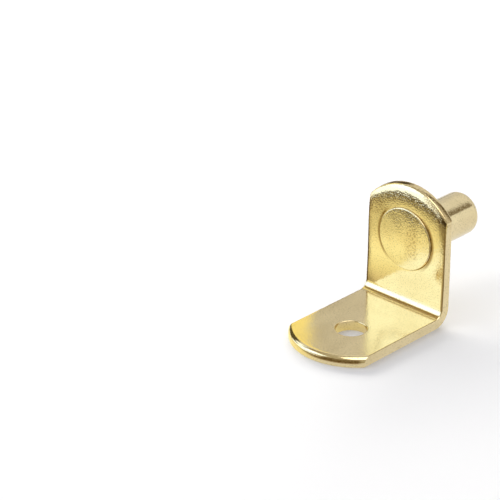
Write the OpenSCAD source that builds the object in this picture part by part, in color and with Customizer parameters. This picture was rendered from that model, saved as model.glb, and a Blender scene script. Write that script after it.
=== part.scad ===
// Angle shelf support pin: a stamped and bent plate with a headed pin riveted through its upright.
// The pin plugs into a hole in a cabinet's side, the shelf lies on the tab, and a screw through
// the tab's hole can hold the shelf down.
//
// Frame, in millimetres: the origin is on the pin's axis, in the plane of the upright's back face.
// +Y runs along the pin to its free end, the tab reaches the other way, X is across the strip and
// +Z is up.

/* [Strip] */
// Width of the strip
plate_w = 14; // [11:0.5:18]
// Thickness of the strip
plate_t = 1.5; // [1.3:0.1:2]
// Rounding along the strip's two long sides
side_r = 0.2; // [0.1:0.05:0.5]
// Inside radius of the bend
bend_r = 1.2; // [0.4:0.1:2]

/* [Upright] */
// Height of the upright's crown above the pin's axis
crown_h = 8; // [7.5:0.1:12]
// Rise of the upright's arc from its corners to its crown
crown_rise = 3.4; // [1:0.1:5]
// Height of the pin's axis above the tab's top face
pin_h = 9.8; // [8.5:0.1:14]

/* [Tab] */
// Reach of the tab's nose from the upright's back face
tab_reach = 21; // [18:0.1:30]
// Rise of the nose's arc from its corners to its tip
nose_rise = 3.3; // [1:0.1:5]
// Diameter of the screw hole
screw_d = 4.4; // [3:0.1:5]
// Distance of the screw hole's axis from the upright's back face
screw_reach = 12.6; // [10:0.1:14]
// Rounding of the screw hole's rims
screw_rim_r = 0.15; // [0.05:0.05:0.3]

/* [Sheared ends] */
// Width of the band that rolls over along the upright's arc, on its front face
crown_roll_w = 1.5; // [1:0.1:2.5]
// Depth of that band at the arc's edge
crown_roll_d = 0.55; // [0.1:0.05:0.6]
// Rounding of the nose's upper edge
nose_r = 0.8; // [0.2:0.05:1.1]
// Rounding of the arcs' outer edge
shear_r = 0.2; // [0.05:0.05:0.3]

/* [Pin] */
// Diameter of the pin
pin_d = 6.3; // [5:0.1:7]
// Length of the pin from the upright's back face
pin_l = 11.4; // [8:0.1:16]
// Rounding of the pin's free end
pin_end_r = 1.3; // [0.3:0.1:2]
// How far the squeezed shank swells, on its radius, to fill its hole in the upright
neck_swell = 0.2; // [0.1:0.05:0.4]

/* [Rivet head] */
// Diameter of the head
head_d = 9.2; // [8:0.1:11]
// Depth of the head's seat in the upright
seat_depth = 0.6; // [0.3:0.05:0.9]
// Height of the head's rim above the upright's front face
head_proud = 0.25; // [0.15:0.05:0.5]
// Rounding of the head's rim
head_rim_r = 0.15; // [0.05:0.05:0.3]
// Rise of the head's crown from its rim to its middle
head_crown = 0.15; // [0.05:0.05:0.5]

/* [Fit] */
// Gap left round the pin's head and neck where they sit in the upright
rivet_gap = 0.02; // [0.01:0.01:0.05]

/* [Hidden] */
$fn = 96;
brass = [0.84, 0.7, 0.38];

// How far a cutter runs past the face that it cuts
over = 1;

// Heights, depths and widths that the pieces share
tab_top = -pin_h;
front_y = -plate_t;
seat_y = front_y + seat_depth;
neck_d = pin_d + 2 * neck_swell;

// Axis of the bend, which lies along X
bend_z = tab_top + bend_r;
bend_y = front_y - bend_r;

// Radius of the arc that rises by rise over a chord
function arc_radius(chord, rise) = (chord * chord / 4 + rise * rise) / (2 * rise);

// Copies a shape to both sides of the axis that is its own left edge
module both_sides() {
    children();
    mirror([1, 0, 0]) children();
}

// What a rounding takes from an outline whose outer corner is at the origin, up and to the right
module corner_waste(r) {
    difference() {
        translate([-r, -r]) square(r + over);
        translate([-r, -r]) circle(r);
    }
}

// What the crown's roll takes from such a corner: its arc leaves the upper side tangent to it and
// runs on past the corner
module roll_waste() {
    r = arc_radius(2 * crown_roll_w, crown_roll_d);
    depth = 2 * crown_roll_d;
    difference() {
        translate([-crown_roll_w, -depth]) square([crown_roll_w + over, depth + over]);
        translate([-crown_roll_w, -r]) circle(r);
    }
}

// Section of the strip: X across its width, Y from its outer face to its inner face
module strip_section() {
    difference() {
        translate([-plate_w / 2, 0]) square([plate_w, plate_t]);
        both_sides() {
            translate([plate_w / 2, plate_t]) corner_waste(side_r);
            translate([plate_w / 2, 0]) mirror([0, 1]) corner_waste(side_r);
        }
    }
}

// Half of the section through a sheared end whose arc has radius r. The child is what the shear
// takes from its inner edge.
module shear_section(r) {
    difference() {
        square([r, plate_t]);
        translate([r, plate_t]) children();
        translate([r, 0]) mirror([0, 1]) corner_waste(shear_r);
    }
}

// A blank that ends in an arc round the origin, with straight sides that run back along -Y
module round_end(r, length) {
    rotate_extrude() shear_section(r) children();
    rotate([90, 0, 0]) linear_extrude(length) both_sides() shear_section(r) children();
}

// A leg of the strip, lying flat with its inner face up, from the bend at Y = 0 to its arc's tip
module leg(length, rise) {
    r = arc_radius(plate_w, rise);
    intersection() {
        translate([0, length, 0]) rotate([90, 0, 0]) linear_extrude(length) strip_section();
        translate([0, length - r, 0]) round_end(r, length + over) children();
    }
}

// The upright, whose front face rolls over to the arc
module upright() {
    translate([0, 0, bend_z]) rotate([90, 0, 0]) leg(crown_h - bend_z, crown_rise)
        roll_waste();
}

// The tab, whose end wall rounds over to its top face
module tab() {
    translate([0, bend_y, tab_top - plate_t]) rotate([0, 0, 180]) leg(tab_reach + bend_y, nose_rise)
        corner_waste(nose_r);
}

module bend() {
    translate([0, bend_y, bend_z]) rotate([-90, 0, 90]) rotate_extrude(angle = 90)
        translate([bend_r + plate_t, 0]) rotate(90) strip_section();
}

// The screw hole, with both of its rims rounded
module screw_hole() {
    translate([0, -screw_reach, tab_top - plate_t]) {
        translate([0, 0, -over]) cylinder(d = screw_d, h = plate_t + 2 * over);
        rotate_extrude() translate([screw_d / 2, plate_t]) mirror([1, 0]) corner_waste(screw_rim_r);
        rotate_extrude() translate([screw_d / 2, 0]) rotate(180) corner_waste(screw_rim_r);
    }
}

// Turns a shape whose axis is Z to lie along the pin
module along_pin() {
    rotate([-90, 0, 0]) children();
}

// The pin's hole through the upright, and the seat sunk for its head
module rivet_hole() {
    along_pin() {
        translate([0, 0, front_y - over]) cylinder(d = head_d + 2 * rivet_gap, h = seat_depth + over);
        translate([0, 0, front_y]) cylinder(d = neck_d + 2 * rivet_gap, h = plate_t + over);
    }
}

module angle_plate() {
    color(brass) difference() {
        union() {
            upright();
            bend();
            tab();
        }
        screw_hole();
        rivet_hole();
    }
}

// Half of the head's section: X from the axis, Y towards the pin's free end
module head_section() {
    rim_y = front_y - head_proud;
    crown_w = head_d - 2 * head_rim_r;
    crown_r = arc_radius(crown_w, head_crown);
    difference() {
        translate([0, rim_y]) square([head_d / 2, seat_y - rim_y]);
        translate([head_d / 2, rim_y]) mirror([0, 1]) corner_waste(head_rim_r);
    }
    intersection() {
        translate([0, rim_y - head_crown + crown_r]) circle(crown_r, $fn = 256);
        translate([0, rim_y - over]) square([crown_w / 2, over + head_rim_r]);
    }
}

// Half of the shank's section: the neck fills the upright, and the pin goes on to the free end
module shank_section() {
    translate([0, front_y]) square([neck_d / 2, plate_t]);
    difference() {
        translate([0, front_y]) square([pin_d / 2, pin_l - front_y]);
        translate([pin_d / 2, pin_l]) corner_waste(pin_end_r);
    }
}

module rivet_pin() {
    color(brass) along_pin() rotate_extrude() {
        head_section();
        shank_section();
    }
}

angle_plate();
rivet_pin();
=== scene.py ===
"""Looks of the angle shelf support pin: a brass-plated bent plate with a headed pin riveted through it.

Lengths are in millimetres until a mesh, a lamp or the camera is made, and the frame is the CAD's: the
origin is on the pin's axis in the plane of the upright's back face, +Y runs along the pin to its free
end, the tab reaches to -Y, X is across the strip and +Z is up.
"""
import math
import bpy
import numpy as np
from mathutils import Matrix, Vector


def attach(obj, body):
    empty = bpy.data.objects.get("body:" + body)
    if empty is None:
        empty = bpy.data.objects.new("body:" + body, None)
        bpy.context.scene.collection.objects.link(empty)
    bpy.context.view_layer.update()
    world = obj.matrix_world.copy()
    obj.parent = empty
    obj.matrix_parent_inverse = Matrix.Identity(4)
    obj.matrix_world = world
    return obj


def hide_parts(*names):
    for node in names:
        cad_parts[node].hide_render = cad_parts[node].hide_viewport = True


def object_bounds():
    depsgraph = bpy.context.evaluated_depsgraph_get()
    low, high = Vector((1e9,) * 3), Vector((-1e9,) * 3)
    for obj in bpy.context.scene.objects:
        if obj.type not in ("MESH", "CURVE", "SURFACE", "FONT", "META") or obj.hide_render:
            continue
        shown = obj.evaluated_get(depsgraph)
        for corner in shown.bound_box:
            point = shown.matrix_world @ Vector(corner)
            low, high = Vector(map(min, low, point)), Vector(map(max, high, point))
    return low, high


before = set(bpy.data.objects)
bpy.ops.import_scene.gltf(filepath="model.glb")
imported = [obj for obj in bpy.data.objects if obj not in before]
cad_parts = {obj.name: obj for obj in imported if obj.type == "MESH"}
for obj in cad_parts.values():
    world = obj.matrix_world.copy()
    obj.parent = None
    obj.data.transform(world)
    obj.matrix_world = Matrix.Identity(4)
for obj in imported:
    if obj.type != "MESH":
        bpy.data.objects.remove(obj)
cad_low, cad_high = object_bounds()

# ---------------------------------------------------------------- sizes
MM = 0.001

# outer sizes, from the frame
HALF_W = round(cad_high[0] / MM, 1)
CROWN_H = round(cad_high[2] / MM, 1)
TAB_REACH = round(-cad_low[1] / MM, 1)
PIN_L = round(cad_high[1] / MM, 1)
UNDERSIDE = round(cad_low[2] / MM, 1)

# the plate's other sizes, as in the CAD
PLATE_T = 1.5
SIDE_R = 0.2
BEND_R = 1.2
CROWN_RISE, CROWN_ROLL_D = 3.4, 0.55
NOSE_RISE, NOSE_R = 3.3, 0.8
SHEAR_R = 0.2
SCREW_R, SCREW_REACH, SCREW_RIM_R = 2.2, 12.6, 0.15

# the pin's other sizes, as in the CAD
PIN_R, PIN_END_R, NECK_R = 3.15, 1.3, 3.35
HEAD_R, HEAD_PROUD, HEAD_RIM_R, HEAD_CROWN = 4.6, 0.25, 0.15, 0.15
SEAT_DEPTH = 0.6
GAP = 0.02

TAB_TOP, FRONT_Y = UNDERSIDE + PLATE_T, -PLATE_T
BEND_Z, BEND_Y = TAB_TOP + BEND_R, FRONT_Y - BEND_R

# what the visual model adds to the solids
EDGE_W, LEAN_W, LEAN_D = 0.95, 3.0, 0.18  # the crown's roll is a steep edge inside a gentle lean
ROLL_FADE = 0.7                   # how much of the steep edge is lost at the crown's corners
LIP_R = 0.18                      # small rounding where the roll meets the crown's wall
SIDE_LEAN_W, SIDE_LEAN_D = 1.5, 0.11      # the upright's face falls away to its sides
DISH_W, DISH_D = 0.7, 0.018       # the face is drawn down a little round the head
DRAFT = 0.08                      # the crown's wall leans in towards the front face
WAVE_LONG, WAVE_SHORT = 0.006, 0.003      # unevenness of the rolled strip
DENT_LONG, DENT_SHORT = 0.012, 0.006      # unevenness of the pin's upset head
SEAT_LIP_R = 0.06                 # rounding of the seat's rim in the upright
CHAMFER = 0.05                    # small corners inside the rivet joint


def arc_radius(chord, rise):
    return (chord * chord / 4 + rise * rise) / (2 * rise)


CROWN_ARC_R = arc_radius(2 * HALF_W, CROWN_RISE)
NOSE_ARC_R = arc_radius(2 * HALF_W, NOSE_RISE)
CROWN_ARC_Z = CROWN_H - CROWN_ARC_R           # centres of the two arcs
NOSE_ARC_Y = NOSE_ARC_R - TAB_REACH


# ---------------------------------------------------------------- meshes
class Skin:
    """Collects points and faces, then makes a smooth-shaded object of them."""

    def __init__(self):
        self.points, self.faces = [], []

    def add(self, points):
        first = len(self.points)
        self.points.extend(tuple(p) for p in points)
        return list(range(first, len(self.points)))

    def bridge(self, a, b, flip=False):
        """Quads between two closed rings of the same length."""
        for k in range(len(a)):
            n = (k + 1) % len(a)
            quad = (a[k], a[n], b[n], b[k])
            self.faces.append(quad[::-1] if flip else quad)

    def make(self, name):
        mesh = bpy.data.meshes.new(name)
        mesh.from_pydata([tuple(c * MM for c in p) for p in self.points], [], self.faces)
        mesh.validate()
        mesh.polygons.foreach_set("use_smooth", [True] * len(mesh.polygons))
        mesh.update()
        made = bpy.data.objects.new(name, mesh)
        bpy.context.scene.collection.objects.link(made)
        return made


def quarter(r, steps):
    """Distances from an edge at which a rounding of radius r is sampled, evenly by angle."""
    return [r * (1 - math.sin(math.pi / 2 * (1 - k / steps))) for k in range(steps + 1)]


def round_drop(a, r):
    """How far a rounding of radius r has dropped at distance a from its edge."""
    a = np.clip(a, 0, r)
    return r - np.sqrt(np.maximum(r * r - (r - a) ** 2, 0))


def arc_drop(a, w, d):
    """The same for an arc that starts tangent at distance w and is d deep at the edge."""
    r = (w * w + d * d) / (2 * d)
    a = np.clip(a, 0, w)
    return r - np.sqrt(r * r - (w - a) ** 2)


def ease(x, low, high):
    t = np.clip((x - low) / (high - low), 0, 1)
    return t * t * (3 - 2 * t)


# ---------------------------------------------------------------- the plate's grid
# Both faces of the strip are a grid of columns across it and rows from the crown to the nose. A block
# of cells is left out round the head and round the screw hole, and rings fill it.
HEAD_BLOCK_X, SCREW_BLOCK_X = 5.6, 3.4
HEAD_BLOCK_Z, SCREW_BLOCK_Y = -5.6, -9.4      # the lower and the nearer side of each block
SCREW_BLOCK_END = 0.8                         # where the block ends, as a share of the way to the nose
ARC_BAND = 2.6                                # width of the band of rows that follows each arc
WIDE_STEPS = [1.06, 1.24, 1.45, 1.7, 1.95, 2.3]       # distances from an arc of the outer rows in it


def nearest(values, wanted):
    return min(range(len(values)), key=lambda k: abs(values[k] - wanted))


def columns():
    """Places of the columns across the strip."""
    steps = quarter(SIDE_R, 6) + [0.4, 0.55, 0.75, 1.0, 1.4]
    half = [HALF_W - a for a in steps]
    half += list(np.linspace(half[-1], SCREW_BLOCK_X, 10))[1:]
    half += list(np.linspace(SCREW_BLOCK_X, 0, 13))[1:]
    return sorted([-x for x in half] + half[:-1])


def shares(count, start=0.0, end=1.0):
    """Even steps from start to end, without the start itself."""
    return np.linspace(start, end, count)[1:]


def crown_z(x):
    return CROWN_ARC_Z + math.sqrt(CROWN_ARC_R ** 2 - x * x)


def nose_y(x):
    return NOSE_ARC_Y - math.sqrt(NOSE_ARC_R ** 2 - x * x)


def upright_rows():
    """Rows of the upright from its crown to the bend, and the two rows between which the head sits."""
    insets = quarter(LIP_R, 6) + [0.19, 0.24, 0.3, 0.38, 0.48, 0.6, 0.74, 0.9] + WIDE_STEPS + [ARC_BAND]
    rows = []
    for b in insets:
        rows.append(("up", [crown_z(x) - b for x in cols], -DRAFT * (1 - b / ARC_BAND)))
    top = len(rows) - 1
    for v in shares(45):
        rows.append(("up", [(crown_z(x) - ARC_BAND) * (1 - v) + HEAD_BLOCK_Z * v for x in cols], 0))
    low = len(rows) - 1
    for v in shares(11):
        rows.append(("up", [HEAD_BLOCK_Z * (1 - v) + BEND_Z * v for x in cols], 0))
    return rows, (top, low)


def bend_rows():
    """Rows of the bend, whose places are angles in degrees."""
    return [("bend", [angle for x in cols], 0) for angle in shares(25, 0, 90)]


def tab_rows():
    """Rows of the tab from the bend to its nose, and the two rows between which the screw hole lies."""
    insets = quarter(NOSE_R, 14) + WIDE_STEPS
    rows = []
    for v in shares(25):
        rows.append(("tab", [BEND_Y * (1 - v) + SCREW_BLOCK_Y * v for x in cols], 0))
    near = len(rows) - 1
    ways = list(shares(27, 0, SCREW_BLOCK_END))
    far = near + len(ways)
    for v in ways + list(shares(8, SCREW_BLOCK_END, 1)):
        rows.append(("tab", [SCREW_BLOCK_Y * (1 - v) + (nose_y(x) + ARC_BAND) * v for x in cols], 0))
    for b in insets[::-1]:
        rows.append(("tab", [nose_y(x) + b for x in cols], 0))
    return rows, (near, far)


# A row is the leg it lies on, its place along that leg at each column, and the inset of its inner face.
cols = columns()
up_rows, head_rows = upright_rows()
round_rows = bend_rows()
flat_rows, screw_rows = tab_rows()
rows = up_rows + round_rows + flat_rows
screw_rows = [r + len(up_rows) + len(round_rows) for r in screw_rows]

# A block is its first and last row, its first and last column, its leg and the centre of its hole.
HEAD_BLOCK = (*head_rows, nearest(cols, -HEAD_BLOCK_X), nearest(cols, HEAD_BLOCK_X), "up", 0.0)
SCREW_BLOCK = (*screw_rows, nearest(cols, -SCREW_BLOCK_X), nearest(cols, SCREW_BLOCK_X), "tab", -SCREW_REACH)
BLOCKS = (HEAD_BLOCK, SCREW_BLOCK)


# ---------------------------------------------------------------- the plate's form
def edge_distances(leg, x, s):
    """Distance of a point from the strip's side, and from the arc that ends its leg."""
    side = HALF_W - abs(x)
    if leg == "up":
        return side, CROWN_ARC_R - math.hypot(x, max(s - CROWN_ARC_Z, 0))
    if leg == "tab":
        return side, NOSE_ARC_R - math.hypot(x, min(s - NOSE_ARC_Y, 0))
    return side, math.inf


def wave(x, s):
    """Slight unevenness of the rolled strip."""
    long_wave = math.sin(0.9 * x + 0.5 * s + 1.0) * math.sin(0.37 * s - 0.6 * x + 0.4)
    short_wave = math.sin(1.7 * x - 1.1 * s + 2.0) * math.cos(1.3 * s + 0.8 * x)
    return WAVE_LONG * long_wave + WAVE_SHORT * short_wave


def upright_relief(x, s, side, arc):
    """How far the upright's front face lies behind its plane, apart from its side roundings."""
    lost_at = HALF_W if x < 0 else 6          # the steep edge is lost sooner on the right
    fade = 1 - ROLL_FADE * ease(abs(x), 1.5, lost_at)
    drop = round_drop(arc, LIP_R) + arc_drop(arc, EDGE_W, CROWN_ROLL_D - LEAN_D) * fade
    drop += arc_drop(arc, LEAN_W, LEAN_D) * ease(s, -1.0, 4.0)
    drop += arc_drop(side, SIDE_LEAN_W, SIDE_LEAN_D) * ease(s, BEND_Z, -4.0)
    drop += arc_drop(max(math.hypot(x, s) - HEAD_R, 0), DISH_W, DISH_D)
    return drop + 0.5 * wave(x, s) * ease(side, 0, 1.5) * ease(arc, 0, 2)


def inner_depth(leg, x, s):
    """Depth of the inner face below its nominal plane."""
    side, arc = edge_distances(leg, x, s)
    drop = round_drop(side, SIDE_R)
    if leg == "up":
        drop += upright_relief(x, s, side, arc)
    if leg == "tab":
        drop = max(drop, round_drop(arc, NOSE_R))
        drop += wave(x, s) * ease(side, 0, 1.5) * ease(arc, 0, 2) * ease(BEND_Y - s, 0, 3)
    return drop


def outer_depth(leg, x, s):
    """Depth of the outer face, measured from the inner one."""
    side, arc = edge_distances(leg, x, s)
    return PLATE_T - max(round_drop(side, SIDE_R), round_drop(arc, SHEAR_R))


def place(leg, x, s, depth):
    """A point of the strip, at a depth below its inner face."""
    if leg == "up":
        return (x, FRONT_Y + depth, s)
    if leg == "tab":
        return (x, s, TAB_TOP - depth)
    a = math.radians(s)
    return (x, BEND_Y + (BEND_R + depth) * math.cos(a), BEND_Z - (BEND_R + depth) * math.sin(a))


def block_loop(r0, r1, c0, c1):
    """The grid points round a block, in order."""
    loop = [(r0, c) for c in range(c0, c1)]
    loop += [(r, c1) for r in range(r0, r1)]
    loop += [(r1, c) for c in range(c1, c0, -1)]
    loop += [(r, c0) for r in range(r1, r0, -1)]
    return loop


def grid_points(skin, depth_of):
    """Adds one face's grid of points, but for those inside a block."""
    grid = {}
    for r, (leg, along, inset) in enumerate(rows):
        shift = inset if depth_of is inner_depth else 0
        for c, x in enumerate(cols):
            if not any(r0 < r < r1 and c0 < c < c1 for r0, r1, c0, c1, *_ in BLOCKS):
                depth = depth_of(leg, x, along[c])
                grid[r, c] = skin.add([place(leg, x, along[c] + shift, depth)])[0]
    return grid


def grid_faces(skin, grid, flip):
    """Covers one face's grid, but for its blocks."""
    for r in range(len(rows) - 1):
        for c in range(len(cols) - 1):
            if not any(r0 <= r < r1 and c0 <= c < c1 for r0, r1, c0, c1, *_ in BLOCKS):
                quad = (grid[r, c], grid[r, c + 1], grid[r + 1, c + 1], grid[r + 1, c])
                skin.faces.append(quad[::-1] if flip else quad)


def outline_wall(skin, front, back):
    """The wall round the strip's outline. The inset of an end's front edge fades along its depth."""
    loop = block_loop(0, len(rows) - 1, 0, len(cols) - 1)
    steps = 8
    previous = [front[k] for k in loop]
    for m in range(1, steps):
        t = m / steps
        ring = []
        for k in loop:
            a = np.array(skin.points[front[k]])
            b = np.array(skin.points[back[k]])
            mid = a * (1 - t) + b * t
            axis = {"up": 2, "tab": 1}.get(rows[k[0]][0])
            if axis:
                mid[axis] = b[axis] + (a[axis] - b[axis]) * (1 - t) ** 2
            ring.append(skin.add([mid])[0])
        skin.bridge(previous, ring, flip=True)
        previous = ring
    skin.bridge(previous, [back[k] for k in loop], flip=True)


def head_seat_wall():
    """Radius and depth along the wall of the head's seat and of the pin's hole, from the front."""
    rim, hole = HEAD_R + GAP, NECK_R + GAP
    base = inner_depth("up", rim + SEAT_LIP_R, 0)
    wall = []
    for a in np.radians([0, 22, 45, 67, 90]):
        wall.append((rim + SEAT_LIP_R * (1 - math.sin(a)), SEAT_LIP_R * (1 - math.cos(a)) + base))
    wall += [(rim, SEAT_DEPTH - CHAMFER), (rim - CHAMFER, SEAT_DEPTH)]
    wall += [(hole + CHAMFER, SEAT_DEPTH), (hole, SEAT_DEPTH + CHAMFER), (hole, PLATE_T - CHAMFER)]
    return wall + [(hole + 0.02, PLATE_T - 0.01), (hole + CHAMFER, PLATE_T)]


def screw_hole_wall():
    """The same for the screw hole, from the tab's top."""
    q = SCREW_RIM_R
    turn = np.radians([0, 15, 30, 45, 60, 75, 90])
    wall = [(SCREW_R + q * (1 - math.sin(a)), q * (1 - math.cos(a))) for a in turn]
    wall += [(SCREW_R, q + (PLATE_T - 2 * q) * t) for t in (0.25, 0.5, 0.75)]
    return wall + [(SCREW_R + q * (1 - math.cos(a)), PLATE_T - q * (1 - math.sin(a))) for a in turn]


def face_rings(skin, grid, block, depth_of, radius, flip):
    """Rings on one face from a block's outline in to a hole's rim. Returns the rim."""
    r0, r1, c0, c1, leg, centre = block
    loop = block_loop(r0, r1, c0, c1)
    previous = [grid[k] for k in loop]
    for t in (0.3, 0.52, 0.68, 0.8, 0.88, 0.94, 0.975, 1.0):
        ring = []
        for r, c in loop:
            x, s = cols[c], rows[r][1][c]
            a = math.atan2(s - centre, x)
            px = x * (1 - t) + radius * math.cos(a) * t
            ps = s * (1 - t) + (centre + radius * math.sin(a)) * t
            ring.append(skin.add([place(leg, px, ps, depth_of(leg, px, ps))])[0])
        skin.bridge(previous, ring, flip=flip)
        previous = ring
    return previous


def cut_hole(skin, grids, block, wall):
    """A round hole with the given wall, in the middle of a block."""
    r0, r1, c0, c1, leg, centre = block
    angles = [math.atan2(rows[r][1][c] - centre, cols[c]) for r, c in block_loop(r0, r1, c0, c1)]
    previous = face_rings(skin, grids[0], block, inner_depth, wall[0][0], flip=False)
    last = face_rings(skin, grids[1], block, outer_depth, wall[-1][0], flip=True)
    for radius, depth in wall[1:-1]:
        points = [place(leg, radius * math.cos(a), centre + radius * math.sin(a), depth) for a in angles]
        ring = skin.add(points)
        skin.bridge(previous, ring)
        previous = ring
    skin.bridge(previous, last)


def make_plate():
    """The whole bent plate as one closed skin."""
    skin = Skin()
    front = grid_points(skin, inner_depth)
    back = grid_points(skin, outer_depth)
    grid_faces(skin, front, flip=False)
    grid_faces(skin, back, flip=True)
    outline_wall(skin, front, back)
    cut_hole(skin, (front, back), HEAD_BLOCK, head_seat_wall())
    cut_hole(skin, (front, back), SCREW_BLOCK, screw_hole_wall())
    return skin.make("angle_plate_finish")


# ---------------------------------------------------------------- the pin's form
RIM_Y, SEAT_Y = FRONT_Y - HEAD_PROUD, FRONT_Y + SEAT_DEPTH
HEAD_CROWN_R = HEAD_R - HEAD_RIM_R


def head_profile():
    """Radius and place along Y, from the middle of the head's crown to its seat."""
    out = []
    for r in np.linspace(0.03, HEAD_CROWN_R, 40):
        out.append((r, RIM_Y - HEAD_CROWN * (1 - (r / HEAD_CROWN_R) ** 2)))
    for a in np.radians(np.linspace(0, 90, 9))[1:]:
        out.append((HEAD_CROWN_R + HEAD_RIM_R * math.sin(a), RIM_Y + HEAD_RIM_R * (1 - math.cos(a))))
    out += [(HEAD_R, y) for y in (-1.4, -1.2, SEAT_Y - CHAMFER)]
    return out + [(HEAD_R - CHAMFER, SEAT_Y)]


def shank_profile():
    """The same from the neck to the pin's free end."""
    out = [(NECK_R + CHAMFER, SEAT_Y), (NECK_R, SEAT_Y + CHAMFER)]
    out += [(NECK_R, -CHAMFER), (NECK_R - CHAMFER, 0.0), (PIN_R + 0.02, 0.0), (PIN_R, 0.02)]
    out += [(PIN_R, y) for y in np.linspace(0.3, PIN_L - PIN_END_R, 30)]
    for a in np.radians(np.linspace(0, 90, 19))[1:]:
        out.append((PIN_R - PIN_END_R * (1 - math.cos(a)), PIN_L - PIN_END_R * (1 - math.sin(a))))
    return out + [(r, PIN_L) for r in (1.4, 0.9, 0.4)]


def head_dent(r, x, z):
    """Slight unevenness of the head's crown, which fades out at its rim."""
    long_wave = math.sin(0.9 * x - 0.6) * math.cos(0.8 * z + 0.3)
    short_wave = math.sin(1.9 * x + 1.3 * z)
    return ease(HEAD_CROWN_R - r, 0, 1.2) * (DENT_LONG * long_wave + DENT_SHORT * short_wave)


def make_pin():
    """The pin and its head, turned about the pin's axis."""
    skin = Skin()
    previous = None
    for r, y in head_profile() + shank_profile():
        ring = []
        for a in np.linspace(0, 2 * math.pi, 193)[:-1]:
            x, z = r * math.cos(a), r * math.sin(a)
            dent = head_dent(r, x, z) if y < RIM_Y else 0.0
            ring.append(skin.add([(x, y + dent, z)])[0])
        if previous is None:
            skin.faces.append(tuple(ring))
        else:
            skin.bridge(previous, ring, flip=True)
        previous = ring
    skin.faces.append(tuple(previous[::-1]))
    return skin.make("rivet_pin_finish")


# ---------------------------------------------------------------- node trees
def grey(v):
    return (v, v, v)


class Shade:
    """A short way to write node trees. A value is a number, a colour or another node's socket."""

    def __init__(self, owner):
        owner.use_nodes = True
        self.tree = owner.node_tree
        self.tree.nodes.clear()

    def new(self, kind, inputs=None, **settings):
        node = self.tree.nodes.new(kind)
        for name, value in settings.items():
            setattr(node, name, value)
        for name, value in (inputs or {}).items():
            self.feed(node.inputs[name], value)
        return node

    def feed(self, socket, value):
        if isinstance(value, bpy.types.NodeSocket):
            self.tree.links.new(value, socket)
        else:
            socket.default_value = value

    def calc(self, op, a, b=0.0):
        return self.new("ShaderNodeMath", {0: a, 1: b}, operation=op).outputs[0]

    def vector(self, op, a, b=None, output="Value"):
        inputs = {0: a} if b is None else {0: a, 1: b}
        return self.new("ShaderNodeVectorMath", inputs, operation=op).outputs[output]

    def in_mm(self, metres):
        scaled = self.new("ShaderNodeVectorMath", {0: metres, "Scale": 1 / MM}, operation="SCALE")
        return scaled.outputs["Vector"]

    def split(self, vector):
        return self.new("ShaderNodeSeparateXYZ", {"Vector": vector}).outputs[:]

    def add(self, *values):
        out = values[0]
        for v in values[1:]:
            out = self.calc("ADD", out, v)
        return out

    def times(self, *values):
        out = values[0]
        for v in values[1:]:
            out = self.calc("MULTIPLY", out, v)
        return out

    def flip(self, value):
        return self.calc("SUBTRACT", 1.0, value)

    def radius(self, x, y):
        return self.calc("POWER", self.add(self.times(x, x), self.times(y, y)), 0.5)

    def bearing(self, x, y):
        """Degrees from the front, -Y, round to the left, -X."""
        turn = self.calc("ARCTAN2", self.times(x, -1.0), self.times(y, -1.0))
        return self.times(turn, 180 / math.pi)

    def step(self, value, low, high):
        """A smooth rise from 0 at low to 1 at high."""
        inputs = {"Value": value, "From Min": low, "From Max": high}
        return self.new("ShaderNodeMapRange", inputs, interpolation_type="SMOOTHSTEP").outputs["Result"]

    def fall(self, value, low, high):
        return self.flip(self.step(value, low, high))

    def band(self, value, a, b, c, d):
        """A smooth rise from a to b and fall from c to d."""
        return self.times(self.step(value, a, b), self.fall(value, c, d))

    def noise(self, where, scale, detail, roughness=0.5):
        inputs = {"Vector": where, "Scale": scale, "Detail": detail, "Roughness": roughness}
        return self.new("ShaderNodeTexNoise", inputs).outputs["Fac"]

    def mix(self, share, a, b):
        made = self.new("ShaderNodeMix", {"Factor": share}, data_type="RGBA")
        for name, v in (("A", a), ("B", b)):
            self.feed(made.inputs[name], v if isinstance(v, bpy.types.NodeSocket) else (*v, 1))
        return made.outputs["Result"]

    def ramp(self, value, stops, span):
        """A colour by distance: stops holds pairs of a distance up to span and a colour."""
        made = self.new("ShaderNodeValToRGB", {"Fac": self.calc("DIVIDE", value, span)})
        marks = made.color_ramp.elements
        while len(marks) > 1:
            marks.remove(marks[-1])
        for k, (at, colour) in enumerate(stops):
            one = marks[0] if k == 0 else marks.new(at / span)
            one.position = at / span
            one.color = (*colour, 1)
        return made.outputs["Color"]

    def emission(self, colour, strength):
        return self.new("ShaderNodeEmission", {"Color": colour, "Strength": strength}).outputs[0]

    def together(self, a, b):
        return self.new("ShaderNodeAddShader", {0: a, 1: b}).outputs[0]


# ---------------------------------------------------------------- brass plating
PLATE_TINTS = ((0.81, 0.66, 0.37), (0.86, 0.71, 0.41))
PIN_TINTS = ((0.81, 0.67, 0.39), (0.86, 0.72, 0.43))
DULL_AND_SHADE = (0.25, 0.135, 0.025)       # colour of dull spots, and of painted shade and painted dark reflections
SPECK_SHARE, SPECK_LEVEL = 0.36, 0.45     # strength of the dark specks, and how dark they are
TAB_ROUGHER, BEND_ROUGHER = 0.07, 0.12    # what the tab's and the bend's roughness gain


def speckle(n, specks, least, gain, low, high):
    """A strength that goes from least up by gain in the specks."""
    return n.add(least, n.times(n.step(specks, low, high), gain))


def groove_painted_shade(n, x, z):
    """A dark ring painted beside the head, on its left and right: painted shade in the groove round the head.
    """
    ring = n.band(n.radius(x, z), HEAD_R + 0.05, HEAD_R + 0.15, HEAD_R + 0.25, HEAD_R + 0.65)
    beside = n.step(n.calc("ABSOLUTE", x), 2.4, 4.4)
    return n.times(ring, beside, 0.8)


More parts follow.
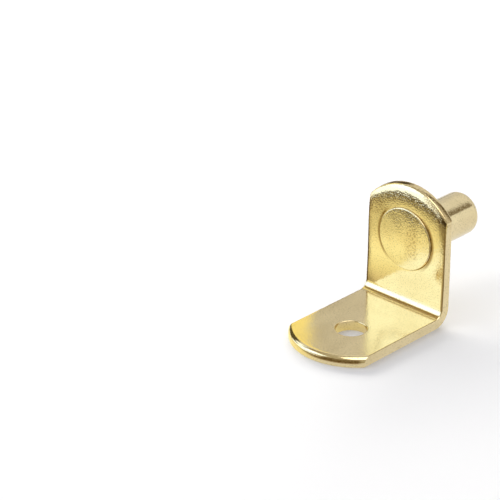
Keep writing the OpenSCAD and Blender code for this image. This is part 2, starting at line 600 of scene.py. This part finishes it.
def crown_marks(n, x, z, specks):
    """Darker, speckled marks on the crown's sheared wall, strongest on its left, and on the right side of its
    roll.
    """
    from_arc = n.radius(x, n.calc("SUBTRACT", z, CROWN_ARC_Z))
    left = n.calc("SUBTRACT", 0.8, n.times(n.step(x, -1.5, 1.0), 0.65))
    right_corner = n.times(n.step(x, 4.0, 6.0), 0.35)
    wall_dark = n.times(n.add(left, right_corner), speckle(n, specks, 0.75, 0.4, 0.35, 0.65))
    wall = n.times(n.step(from_arc, CROWN_ARC_R - 0.13, CROWN_ARC_R - 0.08), n.step(z, 4.2, 4.6), wall_dark)
    roll = n.band(from_arc, CROWN_ARC_R - 1.5, CROWN_ARC_R - 1.0, CROWN_ARC_R - 0.32, CROWN_ARC_R - 0.22)
    mottled = speckle(n, specks, 0.2, 0.5, 0.38, 0.62)
    return n.add(wall, n.times(roll, n.step(x, 2.2, 4.4), n.step(z, 3.5, 4.5), mottled))


def nose_mark(n, x, y, z, specks):
    """A darker, speckled line under the rounding of the nose."""
    near_arc = n.step(n.radius(x, n.calc("SUBTRACT", y, NOSE_ARC_Y)), NOSE_ARC_R - 0.5, NOSE_ARC_R - 0.35)
    line = n.band(z, TAB_TOP - 0.95, TAB_TOP - 0.82, TAB_TOP - 0.42, TAB_TOP - 0.32)
    along = n.band(x, -2.0, 1.5, 6.3, 6.8)
    return n.times(near_arc, line, along, n.fall(y, -16.0, -15.0), speckle(n, specks, 0.7, 0.25, 0.35, 0.65))


def bore_painted_shade(n, x, y, z):
    """The wall of the screw hole, painted darker: painted shade inside the hole."""
    wall = n.fall(n.radius(x, n.add(y, SCREW_REACH)), SCREW_R + 0.05, SCREW_R + 0.2)
    return n.times(wall, n.fall(z, TAB_TOP - 0.2, TAB_TOP - 0.05), 0.24)


def side_painted_shade(n, x, y, z):
    """Painted shade along the front edges of the upright's sides, darker towards the bend."""
    edge = n.band(n.calc("ABSOLUTE", x), HALF_W - 0.45, HALF_W - 0.25, HALF_W - 0.07, HALF_W)
    upright = n.times(n.band(z, -9.3, BEND_Z, 3.5, 5.0), n.fall(y, -1.4, -1.2))
    return n.times(edge, upright, n.add(0.25, n.times(n.fall(z, -8.5, 3.0), 0.6)))


def upper_left_dark_reflection(n, x, z, specks):
    """A mottled, darker patch at the upright's upper left: a painted dark reflection, mottled by the
    plating's specks.
    """
    spot = n.times(n.band(z, 1.8, 3.0, 4.4, 5.2), n.fall(x, -4.4, -3.0))
    return n.times(spot, speckle(n, specks, 0.1, 0.32, 0.42, 0.62))


def plate_marks(n, x, y, z, specks):
    """Where the plate's front is darker: painted shade, a painted dark reflection and other dark marks."""
    marks = n.add(
        groove_painted_shade(n, x, z),
        crown_marks(n, x, z, specks),
        nose_mark(n, x, y, z, specks),
        bore_painted_shade(n, x, y, z),
        side_painted_shade(n, x, y, z),
        upper_left_dark_reflection(n, x, z, specks),
    )
    return n.new("ShaderNodeClamp", {"Value": n.times(marks, n.fall(y, -0.4, -0.1))}).outputs[0]


def head_marks(n, x, y, z, specks):
    """The head has a dull, speckled streak down its right half."""
    streak = n.times(n.band(x, -0.2, 0.9, 1.9, 2.7), n.band(z, -3.4, -1.8, 1.5, 3.0))
    return n.times(streak, speckle(n, specks, 0.1, 0.34, 0.45, 0.62), n.fall(y, -1.2, -1.0))


def brass(name, tints, rough, seed, grain, marks):
    """Brass plating. The tint drifts and the surface is finely grained.

    rough and grain give the least and the greatest roughness and depth of grain, seed shifts the
    noises, and marks says where it is dull and where shade and dark reflections are painted.
    """
    made = bpy.data.materials.new(name)
    n = Shade(made)
    coords = n.new("ShaderNodeTexCoord").outputs["Object"]
    shifted = n.new("ShaderNodeMapping", {"Vector": coords, "Location": (seed, 0.3, 0.7)}).outputs["Vector"]
    blotch = n.noise(shifted, 260.0, 4.0, 0.55)
    fine = n.noise(shifted, 3900.0, 2.0, 0.6)
    specks = n.noise(shifted, 5200.0, 1.0)
    x, y, z = n.split(n.in_mm(coords))

    tint = n.mix(n.step(blotch, 0.3, 0.7), *tints)
    speck_tint = tuple(SPECK_LEVEL * c for c in tints[0])
    tint = n.mix(n.times(n.step(specks, 0.52, 0.72), SPECK_SHARE), tint, speck_tint)
    # mixes in dull plating, and painted shade and painted dark reflections
    tint = n.mix(marks(n, x, y, z, specks), tint, DULL_AND_SHADE)

    spread = {"Value": fine, "From Min": 0.25, "From Max": 0.75, "To Min": rough[0], "To Max": rough[1]}
    rough_map = n.new("ShaderNodeMapRange", spread).outputs["Result"]
    on_tab = n.band(n.times(z, -1.0), 9.6, 9.79, 9.9, 10.1)
    in_bend = n.band(y, -3.0, -2.6, -2.3, -2.0)
    rough_map = n.add(rough_map, n.times(on_tab, TAB_ROUGHER), n.times(in_bend, BEND_ROUGHER))

    coarse = n.times(n.fall(y, -1.0, -0.2), n.step(z, -6.0, 2.5))
    depths = {"Value": coarse, "To Min": grain[0] * MM, "To Max": grain[1] * MM}
    depth = n.new("ShaderNodeMapRange", depths).outputs["Result"]
    bump = n.new("ShaderNodeBump", {"Height": fine, "Strength": 1.0, "Distance": depth}).outputs["Normal"]

    surface = {"Base Color": tint, "Metallic": 1.0, "Roughness": rough_map, "Normal": bump}
    shader = n.new("ShaderNodeBsdfPrincipled", surface).outputs["BSDF"]
    n.new("ShaderNodeOutputMaterial", {"Surface": shader})
    return made


plate = make_plate()
pin = make_pin()
plate_brass = brass("plated_plate", PLATE_TINTS, (0.05, 0.09), 0.0, (0.010, 0.028), plate_marks)
pin_brass = brass("plated_pin", PIN_TINTS, (0.06, 0.10), 3.0, (0.013, 0.028), head_marks)
plate.data.materials.append(plate_brass)
pin.data.materials.append(pin_brass)
for piece, node, slot in ((plate, "angle_plate", "plated_plate"), (pin, "rivet_pin", "plated_pin")):
    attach(piece, "root")
    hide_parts(node)

# ---------------------------------------------------------------- floor, card and world
PANEL = (1.5, 1.75, 2.1)          # colour of the big soft panel at the front left
PANEL_CORE = (1.5, 1.93, 2.8)     # and of its middle, which the inner corner sees by way of both faces
TOP_PANEL = grey(2.4)             # colour of the one overhead
CORE_WAY = (-0.609, -0.664, 0.434)        # directions of that middle and of the panel overhead
TOP_PANEL_WAY = (0.36, -0.05, 0.93)
BAR_ACROSS = (0.600, -0.677, 0.427)       # across the dark bar overhead
AMBIENT = (0.50, 0.50, 0.54)      # what lights the floor from all round
CAMERA_LIFT = 0.08                # what the camera sees on top of the floor's own light
FLOOR_HALF = 1500

# what the metal sees of the floor, by distance in front of the pin: painted warm bands and, far off, painted
# shade
FRONT_FLOOR = [
    (0, (0.67, 0.65, 0.60)),
    (6, (0.65, 0.58, 0.33)),
    (9, (0.69, 0.61, 0.36)),
    (12, (0.85, 0.80, 0.46)),
    (16.5, (1.0, 0.99, 0.63)),
    (21, (0.98, 0.93, 0.57)),
    (25, (0.83, 0.75, 0.39)),
    (29, (0.92, 0.88, 0.53)),
    (33, (0.91, 0.85, 0.50)),
    (37, (0.37, 0.32, 0.18)),
    (41, (0.10, 0.08, 0.04)),
    (58, (0.08, 0.06, 0.03)),
]
FRONT_SPAN, FRONT_LEVEL = 60, 1.2
FRONT_WAY = (-0.25, -0.97, 0)     # the way in which that distance runs
DIM_SPOT, DIM_SHARE = (-23.3, -21.3, UNDERSIDE), 0.70     # a painted shadow on it, where the floor is dimmer
TAB_MIDDLE = (0, -9.5, UNDERSIDE)


def mirrored_floor(n, where):
    """Floor colour the metal sees, a glow with painted shade and reflections. where is a place on the floor.
    """
    x, y, _ = n.split(where)
    away = n.vector("LENGTH", where)
    ahead = n.vector("DOT_PRODUCT", where, FRONT_WAY)
    bearing = n.bearing(x, y)

    near = n.ramp(ahead, FRONT_FLOOR, FRONT_SPAN)
    off_spot = n.step(n.vector("DISTANCE", where, DIM_SPOT), 2.5, 6.5)
    level = n.mix(off_spot, grey(DIM_SHARE * FRONT_LEVEL), grey(FRONT_LEVEL))
    near = n.vector("MULTIPLY", near, level, output="Vector")
    right_side = n.times(n.step(x, -4, 3), n.fall(away, 45, 60))
    colour = n.mix(right_side, near, grey(0.78))

    from_corner = n.bearing(n.calc("SUBTRACT", x, 6.0), n.add(y, 1.5))
    off_tab = n.band(n.vector("DISTANCE", where, TAB_MIDDLE), 13, 14.5, 40, 50)
    # painted shade on the floor, to the right of the upright's corner
    right_painted_shade = n.times(n.band(from_corner, -95, -80, 25, 31), off_tab)
    colour = n.mix(right_painted_shade, colour, (0.32, 0.26, 0.13))

    colour = n.mix(n.step(n.times(ahead, -1.0), 0, 4), colour, grey(0.89))
    # painted shade on the floor to the left
    left_dark_band = n.times(n.band(bearing, 54, 64, 150, 165), n.band(away, 8, 14, 50, 60))
    colour = n.mix(left_dark_band, colour, (0.26, 0.20, 0.10))
    # far off, the floor glows with the panel's colour
    under_panel = n.times(n.step(away, 62, 72), n.band(bearing, 10, 20, 96, 106))
    return n.mix(under_panel, colour, PANEL)


def make_floor():
    """White paper. Far off it glows to the camera, so that no horizon shows."""
    skin = Skin()
    corners = ((-1, -1), (1, -1), (1, 1), (-1, 1))
    skin.faces.append(tuple(skin.add((FLOOR_HALF * x, FLOOR_HALF * y, UNDERSIDE) for x, y in corners)))
    floor = skin.make("floor")
    made = bpy.data.materials.new("floor_paper")
    n = Shade(made)
    path = n.new("ShaderNodeLightPath").outputs
    where = n.in_mm(n.new("ShaderNodeTexCoord").outputs["Object"])
    colour = n.mix(path["Is Glossy Ray"], grey(0.8), grey(0.0))
    paper = n.new("ShaderNodeBsdfDiffuse", {"Color": colour}).outputs[0]
    lift = n.add(CAMERA_LIFT, n.times(n.step(n.vector("LENGTH", where), 150, 500), 0.9))
    glow = n.emission((1, 1, 1, 1), n.times(path["Is Camera Ray"], lift))
    mirrored = n.emission(mirrored_floor(n, where), path["Is Glossy Ray"])
    n.new("ShaderNodeOutputMaterial", {"Surface": n.together(n.together(paper, glow), mirrored)})
    floor.data.materials.append(made)


def make_glowing_card():
    """A glowing warm card at the back left, which only the metal sees: a painted warm reflection."""
    near_x, near_y, far_x, far_y = -26.8, 8.5, -39.72, -2.55
    low, high = -6, 32
    skin = Skin()
    corners = ((near_x, near_y, low), (far_x, far_y, low), (far_x, far_y, high), (near_x, near_y, high))
    skin.faces.append(tuple(skin.add(corners)))
    card = skin.make("glowing_warm_card")
    made = bpy.data.materials.new("glowing_warm_card")
    n = Shade(made)
    n.new("ShaderNodeOutputMaterial", {"Surface": n.emission((1, 0.9, 0.4, 1), 1.15)})
    card.data.materials.append(made)
    card.visible_camera = card.visible_diffuse = card.visible_shadow = False


def mirrored_walls(n, way, x, y, z):
    """Colour of the studio's walls as the metal sees them. way is a direction, and x, y and z its parts."""
    across = n.calc("DIVIDE", x, n.radius(x, y))
    bearing = n.bearing(x, y)

    back = n.mix(n.step(z, 0.46, 0.58), (0.73, 0.72, 0.71), (0.85, 0.85, 0.85))
    back = n.mix(n.step(across, 0.30, 0.56), back, (0.93, 0.94, 0.94))
    left_foot = n.times(n.fall(z, 0.30, 0.40), n.fall(across, -0.93, -0.80))
    back = n.mix(left_foot, back, (0.16, 0.13, 0.08))
    walls = n.mix(n.step(y, -0.15, 0.15), (0.50, 0.47, 0.38), back)

    panel = n.times(n.band(bearing, 10, 20, 84, 92), n.fall(z, 0.72, 0.78))
    core = n.step(n.vector("DOT_PRODUCT", way, CORE_WAY), 0.94, 0.985)
    walls = n.mix(panel, walls, n.mix(core, PANEL, PANEL_CORE))

    leant = n.add(bearing, n.times(n.band(z, 0.10, 0.22, 0.30, 0.38), 14.0))
    left_dark_band = n.times(n.band(leant, 80, 88, 132, 140), n.fall(z, 0.60, 0.66))
    return n.mix(left_dark_band, walls, (0.12, 0.10, 0.05))


def mirrored_ceiling(n, way, x, y, z, walls):
    """Adds what the metal sees overhead: a pale ceiling, a panel and a dark bar with a warm rim."""
    ceiling = n.times(n.step(z, 0.74, 0.84), n.step(n.add(y, n.times(x, 0.5)), 0.30, 0.36))
    sky = n.mix(ceiling, walls, grey(0.95))
    overhead = n.step(n.vector("DOT_PRODUCT", way, TOP_PANEL_WAY), 0.88, 0.92)
    sky = n.mix(overhead, sky, TOP_PANEL)

    tilt = n.vector("DOT_PRODUCT", way, BAR_ACROSS)
    right = n.step(x, -0.1, 0.2)
    rim = n.times(n.step(z, 0.60, 0.76), n.band(tilt, 0.0, 0.06, 0.19, 0.25), n.fall(x, -0.52, -0.40))
    sky = n.mix(rim, sky, (0.50, 0.36, 0.13))
    foot = n.step(n.add(z, n.times(right, 0.05)), 0.48, 0.52)
    bar = n.times(n.band(tilt, -0.055, -0.03, 0.11, 0.135), foot)
    left_part = n.times(n.step(x, -0.52, -0.30), 0.4)
    strength = n.add(0.6, n.calc("SUBTRACT", left_part, n.times(right, 0.08)))
    return n.mix(n.times(bar, strength), sky, (0.14, 0.095, 0.03))


def make_world():
    """White to the camera, an even light to the floor, and a studio to the metal."""
    world = bpy.data.worlds.new("studio")
    bpy.context.scene.world = world
    n = Shade(world)
    path = n.new("ShaderNodeLightPath").outputs
    way = n.new("ShaderNodeTexCoord").outputs["Generated"]
    x, y, z = n.split(way)
    sky = mirrored_ceiling(n, way, x, y, z, mirrored_walls(n, way, x, y, z))
    sky = n.mix(path["Is Diffuse Ray"], sky, AMBIENT)
    lit = n.new("ShaderNodeBackground", {"Color": sky, "Strength": 1.0}).outputs[0]
    white = n.new("ShaderNodeBackground", {"Color": (1, 1, 1, 1), "Strength": 1.0}).outputs[0]
    shown = n.new("ShaderNodeMixShader", {"Fac": path["Is Camera Ray"], 1: lit, 2: white}).outputs[0]
    n.new("ShaderNodeOutputWorld", {"Surface": shown})


# ---------------------------------------------------------------- camera and lamps
CAMERA_AZIMUTH, CAMERA_ELEVATION = 43.88, 26.02       # where it looks from, in degrees
CAMERA_FOCAL_PX, PHOTO_PX = 2196.29, 500              # focal length and width of the photo, in pixels
CAMERA_RIGHT, CAMERA_DOWN, CAMERA_AWAY = 22.61, -2.02, 305.77     # the origin, as the camera sees it
SENSOR_W = 36


def make_camera():
    azimuth, elevation = math.radians(CAMERA_AZIMUTH), math.radians(CAMERA_ELEVATION)
    level = Vector((-math.sin(azimuth), math.cos(azimuth), 0))
    ahead = level * math.cos(elevation) - Vector((0, 0, math.sin(elevation)))
    right = Vector((math.cos(azimuth), math.sin(azimuth), 0))
    down = ahead.cross(right)
    spot = -(right * CAMERA_RIGHT + down * CAMERA_DOWN + ahead * CAMERA_AWAY)
    data = bpy.data.cameras.new("camera")
    data.sensor_width = SENSOR_W
    data.lens = CAMERA_FOCAL_PX / PHOTO_PX * SENSOR_W
    data.clip_start, data.clip_end = 0.01, 10
    camera = bpy.data.objects.new("camera", data)
    camera.matrix_world = Matrix.Translation(spot * MM) @ Matrix((right, -down, -ahead)).transposed().to_4x4()
    bpy.context.scene.collection.objects.link(camera)
    bpy.context.scene.camera = camera


def soft_lamp(name, where, width, height, power):
    """An area lamp aimed at the part. Its place and size are in metres."""
    data = bpy.data.lights.new(name, "AREA")
    data.shape = "RECTANGLE"
    data.size, data.size_y = width, height
    data.energy = power
    data.color = (1.0, 0.98, 0.91)
    lamp = bpy.data.objects.new(name, data)
    lamp.location = Vector(where)
    lamp.rotation_euler = (Vector((0, -4, 0)) * MM - lamp.location).to_track_quat("-Z", "Y").to_euler()
    lamp.visible_glossy = False               # the metal sees the panels in its place
    bpy.context.scene.collection.objects.link(lamp)


make_floor()
make_glowing_card()
make_world()
make_camera()
soft_lamp("key", (-0.80, 0.48, 0.46), 1.40, 0.34, 15.4)
soft_lamp("fill", (-0.40, -0.42, 0.82), 0.50, 0.50, 2.2)
bpy.context.scene.view_settings.view_transform = "Standard"
